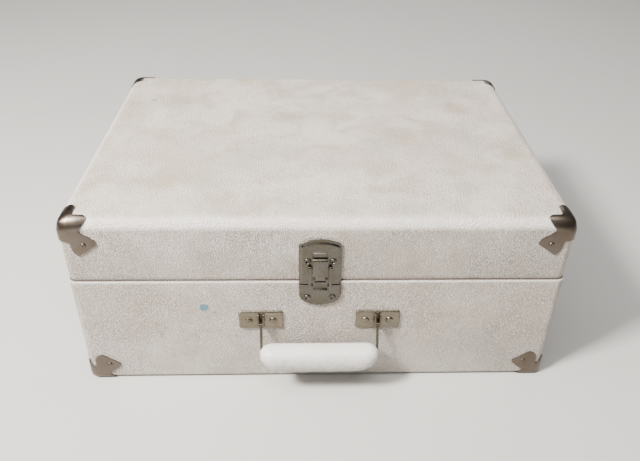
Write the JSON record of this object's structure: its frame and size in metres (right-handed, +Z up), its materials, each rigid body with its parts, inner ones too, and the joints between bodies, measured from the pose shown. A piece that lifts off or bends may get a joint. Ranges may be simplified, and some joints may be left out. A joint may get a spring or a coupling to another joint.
{
  "type": "water test kit",
  "caption": "White leatherette-covered carrying case with metal corners, draw latch and padded handle, opening on stop hinges to a rack of reagent bottles, sample tubes and a colour comparator.",
  "frame": {"origin": "centre of the kit's footprint, handle and hinges included, on the surface that it stands on", "axes": "+X to the right along the front, +Y from the front with its handle to the hinges at the back, +Z up"},
  "size_m": [0.4144, 0.3342, 0.1716],
  "materials": {
    "white_leatherette": "pebble-grained, soiled off-white",
    "plywood": "plain",
    "lining_paper": "matt",
    "rack_wood": "varnished",
    "satin_nickel": "satin nickel plate",
    "steel": "plated wire",
    "grip_vinyl": "smooth padded vinyl",
    "amber_glass": "gloss",
    "clear_glass": "gloss",
    "black_cap": "ribbed",
    "stopper_rubber": "matt",
    "comparator_bakelite": "moulded",
    "disc_plastic": "satin",
    "card": "matt"
  },
  "bodies": {
    "base": {"base_board": "plywood", "base_covering": "white_leatherette", "base_lining": "lining_paper", "corner_base_back_left": "satin_nickel", "corner_base_back_right": "satin_nickel", "corner_base_front_left": "satin_nickel", "corner_base_front_right": "satin_nickel", "handle_plate_left": "satin_nickel", "handle_plate_right": "satin_nickel", "handle_screw_left_left": "satin_nickel", "handle_screw_left_right": "satin_nickel", "handle_screw_right_left": "satin_nickel", "handle_screw_right_right": "satin_nickel", "hinge_left_base_leaf": "satin_nickel", "hinge_left_pin": "steel", "hinge_right_base_leaf": "satin_nickel", "hinge_right_pin": "steel", "latch_plate": "satin_nickel", "latch_rivet_lower_left": "satin_nickel", "latch_rivet_lower_right": "satin_nickel", "lever_pin_left": "steel", "lever_pin_right": "steel", "rack_deck_back": "rack_wood", "rack_deck_front": "rack_wood", "rack_divider": "rack_wood", "rack_support": "rack_wood"},
    "lid": {"lid_board": "plywood", "lid_covering": "white_leatherette", "lid_lining": "lining_paper", "chart_card": "card", "latch_strike": "satin_nickel", "latch_rivet_upper_left": "satin_nickel", "latch_rivet_upper_right": "satin_nickel", "hinge_left_lid_leaf": "satin_nickel", "hinge_right_lid_leaf": "satin_nickel", "corner_lid_front_left": "satin_nickel", "corner_lid_front_right": "satin_nickel", "corner_lid_back_left": "satin_nickel", "corner_lid_back_right": "satin_nickel"},
    "latch_lever": {"latch_lever": "satin_nickel", "latch_link_pin": "steel"},
    "latch_hook": {"latch_hook": "satin_nickel"},
    "handle": {"handle_bail": "steel", "handle_grip": "grip_vinyl"},
    "bottle_1": {"reagent_bottle_1": "amber_glass"},
    "cap_1": {"bottle_cap_1": "black_cap"},
    "bottle_2": {"reagent_bottle_2": "amber_glass"},
    "cap_2": {"bottle_cap_2": "black_cap"},
    "bottle_3": {"reagent_bottle_3": "amber_glass"},
    "cap_3": {"bottle_cap_3": "black_cap"},
    "bottle_4": {"reagent_bottle_4": "amber_glass"},
    "cap_4": {"bottle_cap_4": "black_cap"},
    "tube_1": {"sample_tube_1": "clear_glass"},
    "stopper_1": {"tube_stopper_1": "stopper_rubber"},
    "tube_2": {"sample_tube_2": "clear_glass"},
    "stopper_2": {"tube_stopper_2": "stopper_rubber"},
    "comparator": {"comparator_body": "comparator_bakelite", "comparator_hub": "steel"},
    "disc": {"comparator_disc": "disc_plastic"}
  },
  "joints": [
    {"name": "lid_hinge", "type": "hinge", "parent": "base", "child": "lid", "pos_m": [0, 0.1643, 0.1112], "axis": [-1, 0, 0], "range_deg": [0, 100]},
    {"name": "latch_lever_turn", "type": "hinge", "parent": "base", "child": "latch_lever", "pos_m": [0, -0.1427, 0.125], "axis": [-1, 0, 0], "range_deg": [0, 75]},
    {"name": "latch_hook_turn", "type": "hinge", "parent": "latch_lever", "child": "latch_hook", "pos_m": [0, -0.1427, 0.116], "axis": [-1, 0, 0], "range_deg": [-75, 0]},
    {"name": "handle_swing", "type": "hinge", "parent": "base", "child": "handle", "pos_m": [0, -0.1443, 0.067], "axis": [-1, 0, 0], "range_deg": [0, 110]},
    {"name": "bottle_1_lift", "type": "slide", "parent": "base", "child": "bottle_1", "axis": [0, 0, 1], "range_m": [0, 0.045]},
    {"name": "cap_1_turn", "type": "hinge", "parent": "bottle_1", "child": "cap_1", "pos_m": [-0.16, 0.0904, 0.085], "axis": [0, 0, 1], "continuous": true},
    {"name": "bottle_2_lift", "type": "slide", "parent": "base", "child": "bottle_2", "axis": [0, 0, 1], "range_m": [0, 0.045]},
    {"name": "cap_2_turn", "type": "hinge", "parent": "bottle_2", "child": "cap_2", "pos_m": [-0.11, 0.0904, 0.085], "axis": [0, 0, 1], "continuous": true},
    {"name": "bottle_3_lift", "type": "slide", "parent": "base", "child": "bottle_3", "axis": [0, 0, 1], "range_m": [0, 0.045]},
    {"name": "cap_3_turn", "type": "hinge", "parent": "bottle_3", "child": "cap_3", "pos_m": [-0.06, 0.0904, 0.085], "axis": [0, 0, 1], "continuous": true},
    {"name": "bottle_4_lift", "type": "slide", "parent": "base", "child": "bottle_4", "axis": [0, 0, 1], "range_m": [0, 0.045]},
    {"name": "cap_4_turn", "type": "hinge", "parent": "bottle_4", "child": "cap_4", "pos_m": [-0.01, 0.0904, 0.085], "axis": [0, 0, 1], "continuous": true},
    {"name": "tube_1_lift", "type": "slide", "parent": "base", "child": "tube_1", "axis": [0, 0, 1], "range_m": [0, 0.04]},
    {"name": "stopper_1_pull", "type": "slide", "parent": "tube_1", "child": "stopper_1", "axis": [0, 0, 1], "range_m": [0, 0.0115]},
    {"name": "tube_2_lift", "type": "slide", "parent": "base", "child": "tube_2", "axis": [0, 0, 1], "range_m": [0, 0.04]},
    {"name": "stopper_2_pull", "type": "slide", "parent": "tube_2", "child": "stopper_2", "axis": [0, 0, 1], "range_m": [0, 0.0115]},
    {"name": "comparator_lift", "type": "slide", "parent": "base", "child": "comparator", "axis": [0, 0, 1], "range_m": [0, 0.045]},
    {"name": "disc_turn", "type": "hinge", "parent": "comparator", "child": "disc", "pos_m": [-0.14, -0.0816, 0.062], "axis": [0, -1, 0], "continuous": true}
  ],
  "couplings": [
    {"joint": "latch_hook_turn", "follows": "latch_lever_turn", "ratio": -1}
  ]
}
